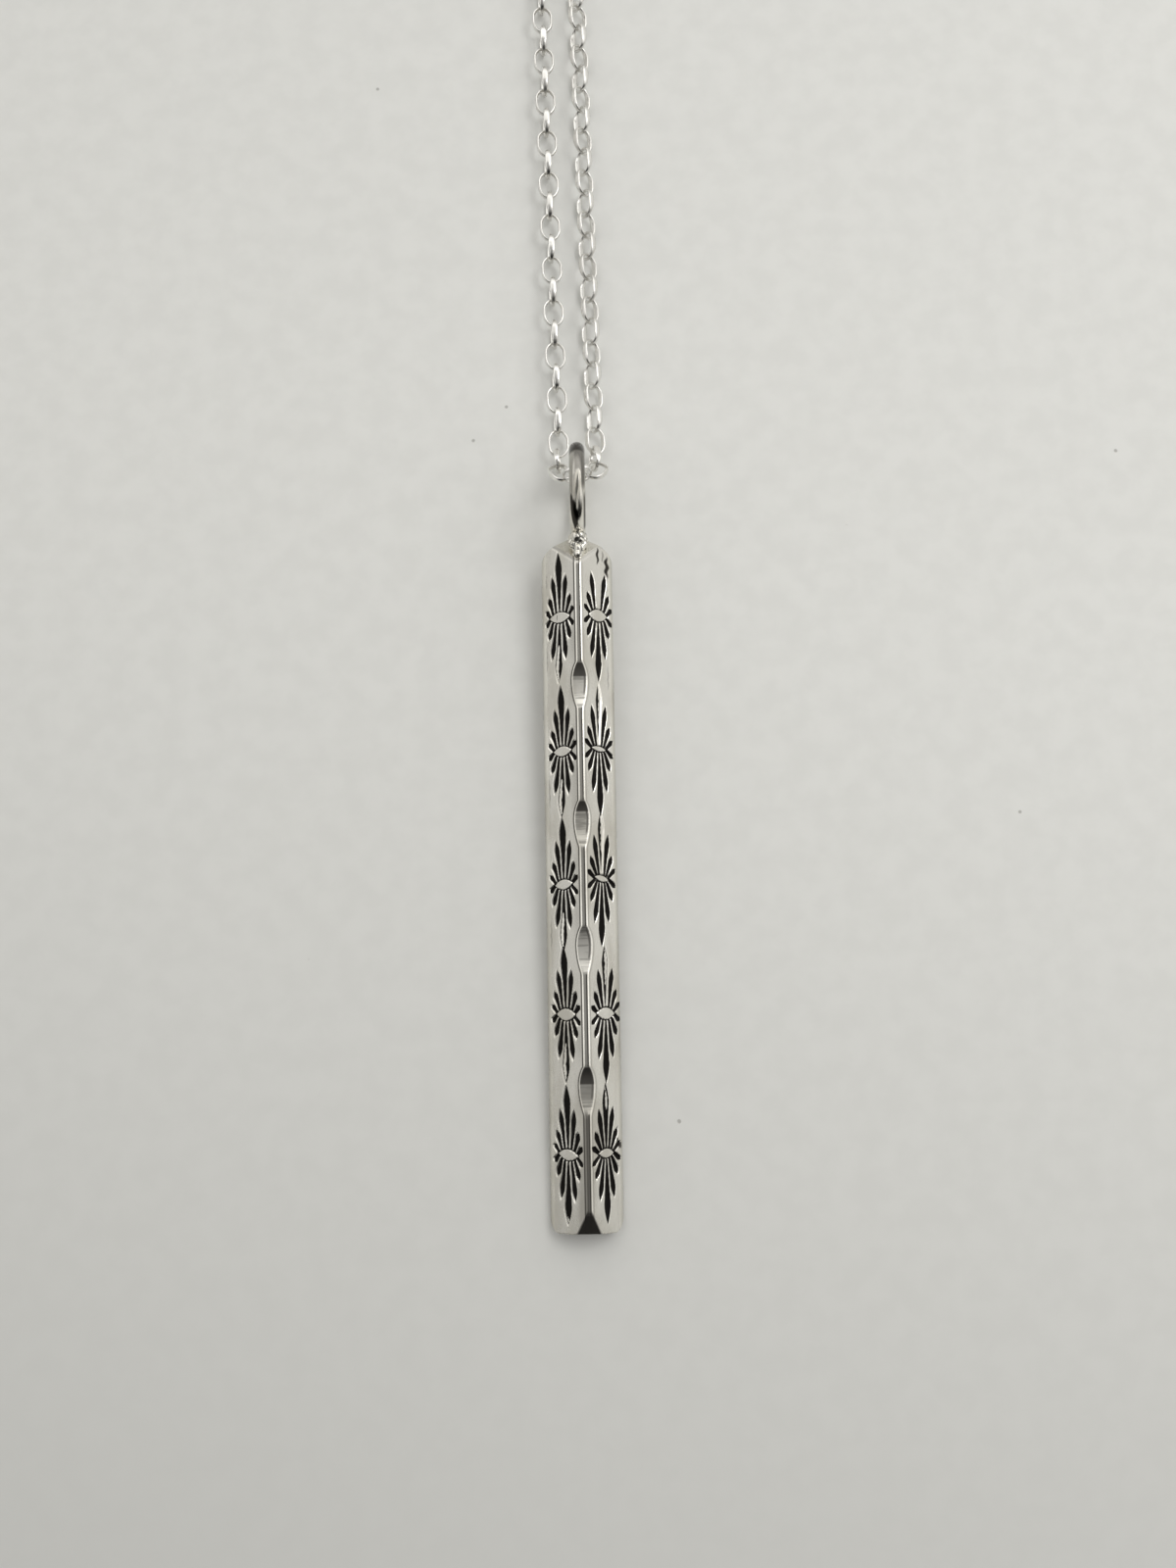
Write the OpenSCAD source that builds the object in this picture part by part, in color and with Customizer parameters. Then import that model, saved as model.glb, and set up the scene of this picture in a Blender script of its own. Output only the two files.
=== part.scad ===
// A silver bar pendant of triangular section on a fine oval belcher chain, lying on a flat surface.
// Millimetres. The bar runs along Y with its ridge up and its pointed end towards +Y, and the origin
// is on the surface, under the middle of the whole necklace.

/* [Bar] */
// Length of the bar, from its square end to its pointed end
bar_length = 61.1; // [58:0.1:64]
// Width of the bar across its back
bar_width = 6.35; // [6.2:0.05:6.6]
// Height of the ridge above the back
bar_height = 3.25; // [3.1:0.05:3.4]
// Slope of the two stamped faces, in degrees
face_slope = 42; // [41:0.5:43]
// Width of the flat along the ridge
ridge_flat = 0.5; // [0.45:0.05:0.65]
// Radius of the rounded long edges
edge_radius = 1.4; // [1.3:0.05:1.4]
// Height of the pointed end above the surface, where the bail ring props it up
tip_lift = 2.29; // [2.1:0.01:2.5]

/* [Scoops and stamps] */
// Length of each scoop filed in the ridge
scoop_length = 3.2; // [2.8:0.1:3.6]
// Depth of each scoop
scoop_depth = 0.35; // [0.2:0.05:0.4]
// Depth of the stamped cuts, square to the face
stamp_depth = 0.14; // [0.08:0.01:0.18]

/* [Bail ring] */
// Outer diameter of the ring
ring_diameter = 8.5; // [8.3:0.1:8.7]
// Diameter of its wire
ring_wire = 1.38; // [1.3:0.02:1.38]

/* [Chain] */
// Links on each side, from the settled stretch to the clasp
side_links = 104; // [80:1:110]
// Outer length of a link
link_length = 2.74; // [2.73:0.01:2.76]
// Outer width of a link
link_width = 1.9; // [1.88:0.01:1.92]
// Thickness of a link's wall
link_wall = 0.19; // [0.17:0.01:0.2]
// Height of a link's band at the middle of its sides
band_middle = 0.6; // [0.5:0.05:0.75]
// Height of a link's band at its two ends
band_end = 0.28; // [0.24:0.01:0.3]

/* [Clasp] */
// Outer diameter of the clasp's ring
clasp_diameter = 6; // [5.6:0.1:7]
// Diameter of the clasp's wire
clasp_wire = 1; // [0.9:0.05:1.05]

/* [Hidden] */
$fn = 48;
silver = [0.80, 0.79, 0.77];

// The bar's section: the rounded long edges are arcs that meet the faces without a corner.
half_width = bar_width / 2;
edge_x = half_width - edge_radius;
edge_z = bar_height - (edge_radius + sin(face_slope) * (edge_x - ridge_flat / 2)) / cos(face_slope);
touch_x = edge_x + edge_radius * sin(face_slope);
touch_z = edge_z + edge_radius * cos(face_slope);

// The bar's side view: a bevel from the ridge, then a steep end wall, at both ends.
half_length = bar_length / 2;
square_low = 2.5;       // height of the edge between the bevel and the end wall, at the square end
square_ridge = 2.35;    // how far the ridge stops short of the square end
square_wall = 0.5;      // how far the bevel stops short of the square end
point_low = 2;          // the same height and distances at the pointed end
point_ridge = 2.8;
point_wall = 1.55;
spare = 1;              // how far a cutting outline stands past the bar

// The bar's plan: rounded corners at the square end, a blunt arch at the pointed end.
corner_radius = 1.35;
arch_half = 0.55;       // half width of the arch's blunt tip
arch_drop = 2.55;       // how far below the tip the arch's shoulders start
shoulder_radius = 1.3;
arc_steps = 6;

// Scoops along the ridge, by their distance from the bar's middle
SCOOPS = [-17.6, -5.75, 5.06, 17.16];
scoop_radius = (scoop_length * scoop_length / 4 + scoop_depth * scoop_depth) / (2 * scoop_depth);

// One stamp is a lens with a fan of rays on both sides. Measured in plan from the lens's middle.
RAYS = [ // root x, root y, tip x, tip y, greatest width
    [0.00, 0.62, 0.00, 5.85, 0.58],
    [0.33, 0.60, 0.62, 3.75, 0.40],
    [0.62, 0.52, 0.95, 1.85, 0.36],
    [0.95, 0.30, 1.22, 0.85, 0.30]
];
ray_root_width = 0.1;
lens_length = 1.8;
lens_height = 0.96;
lens_line = 0.1;        // width of the cut that outlines the lens
STAMPS = [ // x, y, turn of the upper fan, turn of the lower fan, turn of the lens, upper middle ray
    [-1.58, 22.94, -1.4, -2.8, 0, 1],
    [-1.51, 11.05, -1.8, -2.6, 3, 1],
    [-1.57, -0.57, -1.3, -1.8, 7, 1],
    [-1.55, -11.74, -2.4, -1.3, 2, 1],
    [-1.53, -23.59, -1.5, -1.4, 0, 1],
    [1.84, 23.09, 1.0, -0.6, 0, 0],
    [1.71, 11.22, 0.5, 0.8, -7, 1],
    [1.75, -0.11, 0.0, -1.0, -13, 1],
    [1.90, -11.72, 0.0, -0.6, -6, 1],
    [1.75, -23.50, 0.1, 0.4, -6, 1]
];

// How the bar rests: its square end on the surface, its pointed end raised.
tilt = asin(tip_lift / bar_length);
bar_y = 0.65;
bar_z = half_length * sin(tilt);

// The bail ring stands on the surface in the bar's own upright plane, against the pointed end.
ring_x = 0.18;
ring_radius = (ring_diameter - ring_wire) / 2;
ring_y = bar_y + half_length + 3.72;
ring_z = ring_diameter / 2;
SOLDER = [ // x, y and z from the bar's middle, radius
    [0.15, 30.00, 1.70, 0.95],
    [0.18, 30.10, 2.60, 0.70],
    [0.50, 29.60, 2.35, 0.60],
    [-0.15, 29.45, 2.40, 0.62],
    [0.20, 28.95, 2.45, 0.60],
    [0.10, 28.35, 2.70, 0.45]
];

// Links that the bail carries, from the one through the ring down to the settled stretch
pitch = 2.13;
band_flat = 0.7;        // length of the band that has its full height
CARRIED = [ // x, y, z, heading, elevation, roll
    [0.20, 36.85, 3.50, 8, 0, 68],
    [-1.36, 37.19, 2.92, 122.7, -34.5, 17.5],
    [-1.59, 38.81, 1.58, 90.6, -39.8, 85],
    [1.89, 37.40, 2.81, 53.9, -35.3, -14.2],
    [1.82, 39.00, 1.58, 98.4, -31.6, -68]
];

// The loop's own axis leans a little, and the two strands leave the bail side by side.
axis_x = 0.22;
axis_y = 39.67;
lean = 1.3;
strand = 1.7;           // from the axis to each strand
run = 50.3;             // straight stretch of each strand
first_left = 0;         // where each strand's first link begins, from the foot of the axis
first_right = 0.15;
flare = 60;             // how far each strand turns outwards before the neck's round
chain_z = 1.02;
roll_left = 6;          // how far each strand is rolled at the bail; both lie square at the clasp
roll_right = 30;
roll_more = 17;         // the right strand rolls on by this over its first links
roll_links = 4;

clasp_radius = (clasp_diameter - clasp_wire) / 2;
clasp_gap = 0.16;
// Distance from the clasp's middle to the middle of the last link on each side
clasp_reach = clasp_radius - clasp_wire / 2 - clasp_gap - link_wall + link_length / 2;

// The radius of the neck's round follows from the number of links.
half_route = (first_left + first_right) / 2 + (side_links - 0.5) * pitch + clasp_reach;
flare_turn = flare * PI / 180;
neck_turn = (90 + flare) * PI / 180;
spread = strand / cos(flare);
flare_share = (1 - cos(flare)) / cos(flare);
flare_radius = (half_route - run - spread * neck_turn) / (flare_turn + flare_share * neck_turn);
neck_radius = spread + flare_share * flare_radius;
neck_y = run + flare_radius * sin(flare) + neck_radius * sin(flare);

// The origin is under the middle of the whole necklace.
top_y = axis_y + neck_y * cos(lean) + neck_radius + clasp_diameter / 2;
low_y = bar_y - half_length * cos(tilt);
shift_x = neck_y * sin(lean) - axis_x;
shift_y = -(top_y + low_y) / 2;

function arc(x, y, r, from, to) =
    [for (i = [0:arc_steps]) let (a = from + (to - from) * i / arc_steps) [x + r * cos(a), y + r * sin(a)]];

// A ray as an outline along Y: narrow at its root, widest at seven tenths, pointed at its tip
function ray_outline(length, width) = [
    [-ray_root_width / 2, 0], [ray_root_width / 2, 0],
    [0.3 * width, 0.4 * length], [width / 2, 0.72 * length], [0.3 * width, 0.9 * length],
    [0, length],
    [-0.3 * width, 0.9 * length], [-width / 2, 0.72 * length], [-0.3 * width, 0.4 * length]
];

// Point and heading at distance s along the right half of the loop, in the loop's own axes
function neck_angle(s) = (s - run - flare_radius * flare_turn) / neck_radius * 180 / PI - flare;
function route_point(s) =
    s < run ? [strand, s]
    : s < run + flare_radius * flare_turn
        ? let (a = (s - run) / flare_radius * 180 / PI)
            [strand + flare_radius * (1 - cos(a)), run + flare_radius * sin(a)]
        : [neck_radius * cos(neck_angle(s)), neck_y + neck_radius * sin(neck_angle(s))];
function route_heading(s) =
    s < run ? 90
    : s < run + flare_radius * flare_turn
        ? 90 - (s - run) / flare_radius * 180 / PI
        : 90 + neck_angle(s);

module bar_section() {
    intersection() {
        union() {
            polygon([
                [-edge_x, 0], [edge_x, 0], [touch_x, touch_z], [ridge_flat / 2, bar_height],
                [-ridge_flat / 2, bar_height], [-touch_x, touch_z]
            ]);
            for (side = [-1, 1]) translate([side * edge_x, edge_z]) circle(edge_radius);
        }
        translate([-bar_width, 0]) square([2 * bar_width, 2 * bar_height]);
    }
}

module bar_plan() {
    polygon(concat(
        arc(-(half_width - corner_radius), -half_length + corner_radius, corner_radius, 180, 270),
        arc(half_width - corner_radius, -half_length + corner_radius, corner_radius, 270, 360),
        arc(half_width - shoulder_radius, half_length - arch_drop, shoulder_radius, 0, 50),
        [[arch_half, half_length], [-arch_half, half_length]],
        arc(-(half_width - shoulder_radius), half_length - arch_drop, shoulder_radius, 130, 180)
    ));
}

// One end of the side view, as distance from that end and height, from the foot of its wall to the
// ridge, with both slopes carried past the bar
function end_outline(low, wall, ridge) = [
    [-wall * spare / low, -spare],
    [wall, low],
    [ridge + (ridge - wall) * spare / (bar_height - low), bar_height + spare]
];

// The side view, as y and height
module bar_profile() {
    square_end = end_outline(square_low, square_wall, square_ridge);
    point_end = end_outline(point_low, point_wall, point_ridge);
    polygon(concat(
        [for (p = square_end) [p[0] - half_length, p[1]]],
        [for (i = [2:-1:0]) [half_length - point_end[i][0], point_end[i][1]]]
    ));
}

// Puts a flat outline, measured in plan from the bar's middle, into the sloping face on one side
module on_face(side, x, y) {
    face_z = bar_height - (abs(x) - ridge_flat / 2) * tan(face_slope);
    translate([x, y, face_z]) rotate([0, side * face_slope, 0]) translate([0, 0, -stamp_depth])
        linear_extrude(spare) children();
}

// One fan of rays, with or without its long middle ray
module fan(spine) {
    for (i = [0:len(RAYS) - 1], hand = [-1, 1]) {
        ray = RAYS[i];
        run_x = hand * (ray[2] - ray[0]) / cos(face_slope);
        run_y = ray[3] - ray[1];
        if (i > 0 || (hand == 1 && spine == 1))
            translate([hand * ray[0] / cos(face_slope), ray[1]])
                rotate(-atan2(run_x, run_y)) polygon(ray_outline(norm([run_x, run_y]), ray[4]));
    }
}

module lens(length, height) {
    bow = (length * length / 4 + height * height / 4) / height;
    reach = asin(length / 2 / bow);
    polygon(concat(
        arc(0, height / 2 - bow, bow, 90 - reach, 90 + reach),
        arc(0, bow - height / 2, bow, 270 - reach, 270 + reach)
    ));
}

module stamp(row) {
    side = row[0] < 0 ? -1 : 1;
    on_face(side, row[0], row[1]) {
        rotate(-row[2]) fan(row[5]);
        rotate(180 + row[3]) fan(1);
        rotate(row[4]) difference() {
            lens(lens_length / cos(face_slope), lens_height);
            lens(lens_length / cos(face_slope) - 4 * lens_line, lens_height - 2 * lens_line);
        }
    }
}

module bar() {
    difference() {
        intersection() {
            rotate([90, 0, 0]) linear_extrude(bar_length + 2 * spare, center = true) bar_section();
            linear_extrude(3 * bar_height, center = true) bar_plan();
            rotate([90, 0, 90]) linear_extrude(bar_width + 2 * spare, center = true) bar_profile();
        }
        for (y = SCOOPS) translate([0, y, bar_height - scoop_depth + scoop_radius])
            rotate([0, 90, 0]) cylinder(h = bar_width, r = scoop_radius, center = true);
        for (row = STAMPS) stamp(row);
    }
}

module pendant() {
    color(silver) translate([shift_x, shift_y, 0]) {
        translate([0, bar_y, bar_z]) rotate([tilt, 0, 0]) {
            bar();
            for (s = SOLDER) translate([s[0], s[1], s[2]]) sphere(s[3]);
        }
        translate([ring_x, ring_y, ring_z]) rotate([0, 90, 0])
            rotate_extrude() translate([ring_radius, 0]) circle(ring_wire / 2);
    }
}

// Twelve-sided outline of a link at radius r: its flats touch the true oval at the ends and sides
function link_outline(r) = [
    for (end = [1, -1], a = [-75:30:75])
        end * [(link_length - link_width) / 2 + r / cos(15) * cos(a), r / cos(15) * sin(a)]
];

// One oval link, its length along X: a hoop of flat band that swells towards the middle of its sides
module link() {
    outer = link_width / 2;
    intersection() {
        linear_extrude(band_middle, center = true) difference() {
            polygon(link_outline(outer));
            polygon(link_outline(outer - link_wall));
        }
        rotate([90, 0, 0]) linear_extrude(link_width + spare, center = true) polygon([
            [link_length / 2, -band_end / 2], [link_length / 2, band_end / 2],
            [band_flat / 2, band_middle / 2], [-band_flat / 2, band_middle / 2],
            [-link_length / 2, band_end / 2], [-link_length / 2, -band_end / 2],
            [-band_flat / 2, -band_middle / 2], [band_flat / 2, -band_middle / 2]
        ]);
    }
}

module chain() {
    color(silver) translate([shift_x, shift_y, 0]) {
        for (c = CARRIED) translate([c[0], c[1], c[2]]) rotate([c[5], -c[4], c[3]]) link();
        translate([axis_x, axis_y, chain_z]) rotate([0, 0, lean])
            for (side = [-1, 1], k = [0:side_links - 1]) {
                s = (side < 0 ? first_left : first_right) + (k + 0.5) * pitch;
                p = route_point(s);
                rolled = side < 0 ? roll_left : roll_right + roll_more * min(1, k / roll_links);
                roll = rolled * (1 - k / (side_links - 1)) + 90 * k;
                translate([side * p[0], p[1], 0]) rotate([roll, 0, 90 + side * (route_heading(s) - 90)])
                    link();
            }
    }
}

module clasp() {
    color(silver) translate([shift_x, shift_y, 0]) translate([axis_x, axis_y, chain_z])
        rotate([0, 0, lean]) translate([(first_left - first_right) / 2, neck_y + neck_radius, 0])
            rotate_extrude() translate([clasp_radius, 0]) circle(clasp_wire / 2);
}

pendant();
chain();
clasp();
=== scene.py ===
"""A silver bar pendant of triangular section on a fine oval belcher chain.

The bar is struck on both sloping faces with a row of stamps, each a lens with a fan of rays on both
sides, and its cuts are black with oxidation. A ring of round wire is soldered on edge to its pointed
end, and carries the chain. Sizes are in millimetres, and turn to metres as each mesh is made.
"""
from __future__ import annotations

import logging
from dataclasses import dataclass
from enum import Enum
from math import asin, cos, pi, prod, radians, sin, tan

import bpy
import numpy as np
from mathutils import Matrix

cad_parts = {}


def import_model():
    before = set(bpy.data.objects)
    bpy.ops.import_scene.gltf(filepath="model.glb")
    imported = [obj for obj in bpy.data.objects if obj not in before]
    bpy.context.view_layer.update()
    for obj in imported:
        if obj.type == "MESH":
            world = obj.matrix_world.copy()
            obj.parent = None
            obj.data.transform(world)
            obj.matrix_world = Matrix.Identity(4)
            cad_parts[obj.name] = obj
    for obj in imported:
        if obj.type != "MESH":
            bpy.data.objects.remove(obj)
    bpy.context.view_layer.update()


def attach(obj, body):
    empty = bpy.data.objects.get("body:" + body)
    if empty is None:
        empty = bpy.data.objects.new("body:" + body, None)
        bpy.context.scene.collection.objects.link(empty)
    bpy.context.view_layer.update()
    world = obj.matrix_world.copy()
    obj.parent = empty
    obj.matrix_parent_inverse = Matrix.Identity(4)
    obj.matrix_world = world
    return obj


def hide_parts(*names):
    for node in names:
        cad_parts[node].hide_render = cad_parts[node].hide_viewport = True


LOG = logging.getLogger("pendant")
MM = 0.001
GOLDEN_TURN = 2.39996   # radians from each of a set of evenly spread points to the next
Array = np.ndarray
Piece = bpy.types.Object
Socket = bpy.types.NodeSocket
Pair = tuple[float, float]
Triple = tuple[float, float, float]
Table = tuple[tuple[float, ...], ...]
Feeds = dict[str | int, object]


def smooth_step(low: float, high: float, value: Array) -> Array:
    """Cubic ramp from 0 at low to 1 at high."""
    t = np.clip((value - low) / (high - low), 0.0, 1.0)
    return t * t * (3.0 - 2.0 * t)


def fade(value: Array, *ramps: Pair) -> Array:
    """Product of ramps, each from 0 at its first limit to 1 at its second."""
    return prod(smooth_step(start, end, value) for start, end in ramps)


def soft_min(a: Array, b: Array, blend: float) -> Array:
    """The lesser of a and b, with the crease between them rounded over the width blend."""
    h = np.clip(0.5 + 0.5 * (b - a) / blend, 0.0, 1.0)
    return b + (a - b) * h - blend * h * (1.0 - h)


def turn(axis: str, degrees: float) -> Array:
    """Three by three matrix of a turn about one axis, right-handed."""
    return np.array(Matrix.Rotation(radians(degrees), 3, axis))


def turned_axes(x: Array, y: Array, degrees: float) -> tuple[Array, Array]:
    """Places in axes that are turned anticlockwise."""
    c, s = cos(radians(degrees)), sin(radians(degrees))
    return x * c + y * s, y * c - x * s


def grid_faces(rows: int, columns: int, wrap_rows: bool, wrap_columns: bool) -> Array:
    """Quads between the neighbours of a grid of points.

    Args:
        rows: number of rows of points.
        columns: number of points in a row.
        wrap_rows: whether the last row meets the first.
        wrap_columns: whether the last column meets the first.

    Returns:
        One row of four point numbers for each quad.
    """
    r = np.arange(rows if wrap_rows else rows - 1)
    c = np.arange(columns if wrap_columns else columns - 1)
    r, c = np.meshgrid(r, c, indexing="ij")
    r2, c2 = (r + 1) % rows, (c + 1) % columns
    corners = [r * columns + c, r * columns + c2, r2 * columns + c2, r2 * columns + c]
    return np.stack(corners, -1).reshape(-1, 4)


def add_object(name: str, data: bpy.types.ID) -> Piece:
    """A new object in the scene for a mesh, a light or a camera."""
    piece = bpy.data.objects.new(name, data)
    bpy.context.scene.collection.objects.link(piece)
    return piece


def make_object(name: str, points: Array, faces: list) -> Piece:
    """A smooth mesh object at the origin from points in millimetres.

    Args:
        name: the object's name.
        points: one row of x, y and z for each vertex.
        faces: the vertex numbers of each face.

    Returns:
        The new object, linked to the scene.
    """
    mesh = bpy.data.meshes.new(name)
    mesh.from_pydata((points * MM).tolist(), [], faces)
    mesh.polygons.foreach_set("use_smooth", [True] * len(mesh.polygons))
    mesh.update()
    return add_object(name, mesh)


def set_values(piece: Piece, name: str, values: Array) -> None:
    """Stores one number for each vertex under a name that the materials read."""
    layer = piece.data.attributes.new(name, "FLOAT", "POINT")
    layer.data.foreach_set("value", values.astype(np.float32).ravel())


def wire_ring(radius: float, wire: float, turns: int, sides: int) -> tuple[Array, list, Array, Array]:
    """A round wire carried along a circle that lies flat.

    Args:
        radius: radius of the circle that the wire's middle follows.
        wire: radius of the wire.
        turns: number of sections round the circle.
        sides: number of points in a section.

    Returns:
        Its points and faces, and each point's degrees around the circle and across the wire.
    """
    t = np.linspace(0, 2 * pi, turns, endpoint=False)
    u = np.linspace(0, 2 * pi, sides, endpoint=False)
    t, u = np.meshgrid(t, u, indexing="ij")
    out = radius + wire * np.cos(u)
    points = np.stack([out * np.cos(t), out * np.sin(t), wire * np.sin(u)], -1).reshape(-1, 3)
    faces = grid_faces(turns, sides, True, True)[:, ::-1].tolist()
    return points, faces, np.degrees(t), np.degrees(np.where(u > pi, u - 2 * pi, u))


class Side(Enum):
    """The two strands of the chain, by the sign of x."""

    LEFT = -1
    RIGHT = 1


@dataclass(frozen=True)
class Layout:
    """Where the necklace lies. The driving sizes are those of the solid part."""

    bar_length: float = 61.1
    tip_lift: float = 2.29
    bar_y: float = 0.65
    ring_diameter: float = 8.5
    ring_x: float = 0.18
    ring_gap: float = 3.72
    side_links: int = 104
    pitch: float = 2.13
    link_length: float = 2.74
    link_wall: float = 0.19
    clasp_diameter: float = 6.0
    clasp_wire: float = 1.0
    clasp_gap: float = 0.16
    axis_x: float = 0.22
    axis_y: float = 39.67
    lean: float = 1.3
    strand: float = 1.7
    run: float = 50.3
    flare: float = 60.0
    first_right: float = 0.15
    chain_z: float = 1.02

    @property
    def tilt(self) -> float:
        """Slope of the bar in degrees: its square end lies on the surface, its tip is raised."""
        return float(np.degrees(asin(self.tip_lift / self.bar_length)))

    @property
    def neck(self) -> Triple:
        """Radius of each strand's outward turn, and radius and middle of the neck's round.

        They follow from the number of links. The middle is a distance along the loop's own axis.
        """
        inner = self.clasp_diameter / 2 - self.clasp_wire
        clasp_reach = inner - self.clasp_gap - self.link_wall + self.link_length / 2
        route = self.first_right / 2 + (self.side_links - 0.5) * self.pitch + clasp_reach
        flare, whole = radians(self.flare), radians(90 + self.flare)
        spread = self.strand / cos(flare)
        share = (1 - cos(flare)) / cos(flare)
        turn_radius = (route - self.run - spread * whole) / (flare + share * whole)
        radius = spread + share * turn_radius
        return turn_radius, radius, self.run + (turn_radius + radius) * sin(flare)

    @property
    def shift(self) -> Array:
        """What brings the middle of the whole necklace over the origin."""
        lean, (_, radius, neck_y) = radians(self.lean), self.neck
        top = self.axis_y + neck_y * cos(lean) + radius + self.clasp_diameter / 2
        low = self.bar_y - self.bar_length / 2 * cos(radians(self.tilt))
        return np.array([neck_y * sin(lean) - self.axis_x, -(top + low) / 2, 0.0])

    def from_bar(self, points: Array) -> Array:
        """Carries points from the bar's own axes, with the middle of its back at 0, to the scene."""
        lift = np.array([0.0, self.bar_y, self.bar_length / 2 * sin(radians(self.tilt))])
        return points @ turn("X", self.tilt).T + lift + self.shift

    def from_loop(self, points: Array) -> Array:
        """Carries points from the chain loop's own axes to the scene."""
        foot = np.array([self.axis_x, self.axis_y, self.chain_z])
        return points @ turn("Z", self.lean).T + foot + self.shift


class Board:
    """A node tree, with short calls for the kinds of node that this scene uses."""

    def __init__(self, tree: bpy.types.NodeTree) -> None:
        """Takes the tree to work on."""
        self.nodes, self.links = tree.nodes, tree.links

    def feed(self, node: bpy.types.Node, feeds: Feeds) -> None:
        """Joins inputs of a node, by name or number, to other sockets, or sets their own values."""
        for key, value in feeds.items():
            socket = node.inputs[key]
            if isinstance(value, Socket):
                self.links.new(value, socket)
            elif isinstance(value, tuple) and len(socket.default_value) > len(value):
                socket.default_value = (*value, 1.0)
            else:
                socket.default_value = value

    def add(self, kind: str, feeds: Feeds | None = None, **values: object) -> bpy.types.Node:
        """A new node of a kind, with some of its properties set and some of its inputs fed."""
        node = self.nodes.new(kind)
        for name, value in values.items():
            setattr(node, name, value)
        self.feed(node, feeds or {})
        return node

    def attribute(self, name: str) -> Socket:
        """The number that the mesh stores under a name."""
        return self.add("ShaderNodeAttribute", attribute_name=name).outputs["Fac"]

    def math(self, operation: str, first: object, second: object) -> Socket:
        """One sum on two numbers."""
        return self.add("ShaderNodeMath", {0: first, 1: second}, operation=operation).outputs[0]

    def ramp(
        self, value: object, low: float, high: float, start: float = 0.0, end: float = 1.0
    ) -> Socket:
        """Smooth change from start to end while the value goes from low to high."""
        feeds = {"Value": value, "From Min": low, "From Max": high, "To Min": start, "To Max": end}
        return self.add("ShaderNodeMapRange", feeds, interpolation_type="SMOOTHSTEP").outputs["Result"]

    def mix(self, factor: object, first: object, second: object) -> Socket:
        """A colour between two colours."""
        feeds = {"Factor": factor, 6: first, 7: second}
        return self.add("ShaderNodeMix", feeds, data_type="RGBA").outputs[2]

    def blend(self, factor: object, first: object, second: object) -> Socket:
        """A number between two numbers."""
        feeds = {"Factor": factor, 2: first, 3: second}
        return self.add("ShaderNodeMix", feeds, data_type="FLOAT").outputs[0]

    def noise(self, place: object, scale: float, detail: float) -> Socket:
        """Soft random values at a place."""
        feeds = {"Vector": place, "Scale": scale, "Detail": detail}
        return self.add("ShaderNodeTexNoise", feeds).outputs["Fac"]


@dataclass(frozen=True)
class PolishMarks:
    """Fine marks of polishing, shared by the silver finishes as one node group."""

    name: str = "polish_marks"
    fine: float = 9000.0
    fine_detail: float = 3.0
    broad: float = 420.0
    broad_detail: float = 4.0

    def group(self) -> bpy.types.ShaderNodeTree:
        """The node group, built once.

        Returns:
            A group with the inputs Across and Along, which stretch the marks, and the outputs Tone
            and Height.
        """
        if self.name in bpy.data.node_groups:
            return bpy.data.node_groups[self.name]
        tree = bpy.data.node_groups.new(self.name, "ShaderNodeTree")
        board = Board(tree)
        for label, way in (("Across", "INPUT"), ("Along", "INPUT"), ("Tone", "OUTPUT"), ("Height", "OUTPUT")):
            tree.interface.new_socket(label, in_out=way, socket_type="NodeSocketFloat")
        given = board.add("NodeGroupInput").outputs
        here = board.add("ShaderNodeTexCoord").outputs["Object"]
        feeds = {"X": given["Across"], "Y": given["Along"], "Z": given["Across"]}
        stretch = board.add("ShaderNodeCombineXYZ", feeds).outputs["Vector"]
        place = board.add("ShaderNodeVectorMath", {0: here, 1: stretch}, operation="MULTIPLY").outputs[0]
        tone = board.noise(place, self.broad, self.broad_detail)
        height = board.noise(place, self.fine, self.fine_detail)
        board.add("NodeGroupOutput", {"Tone": tone, "Height": height})
        return tree


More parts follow.
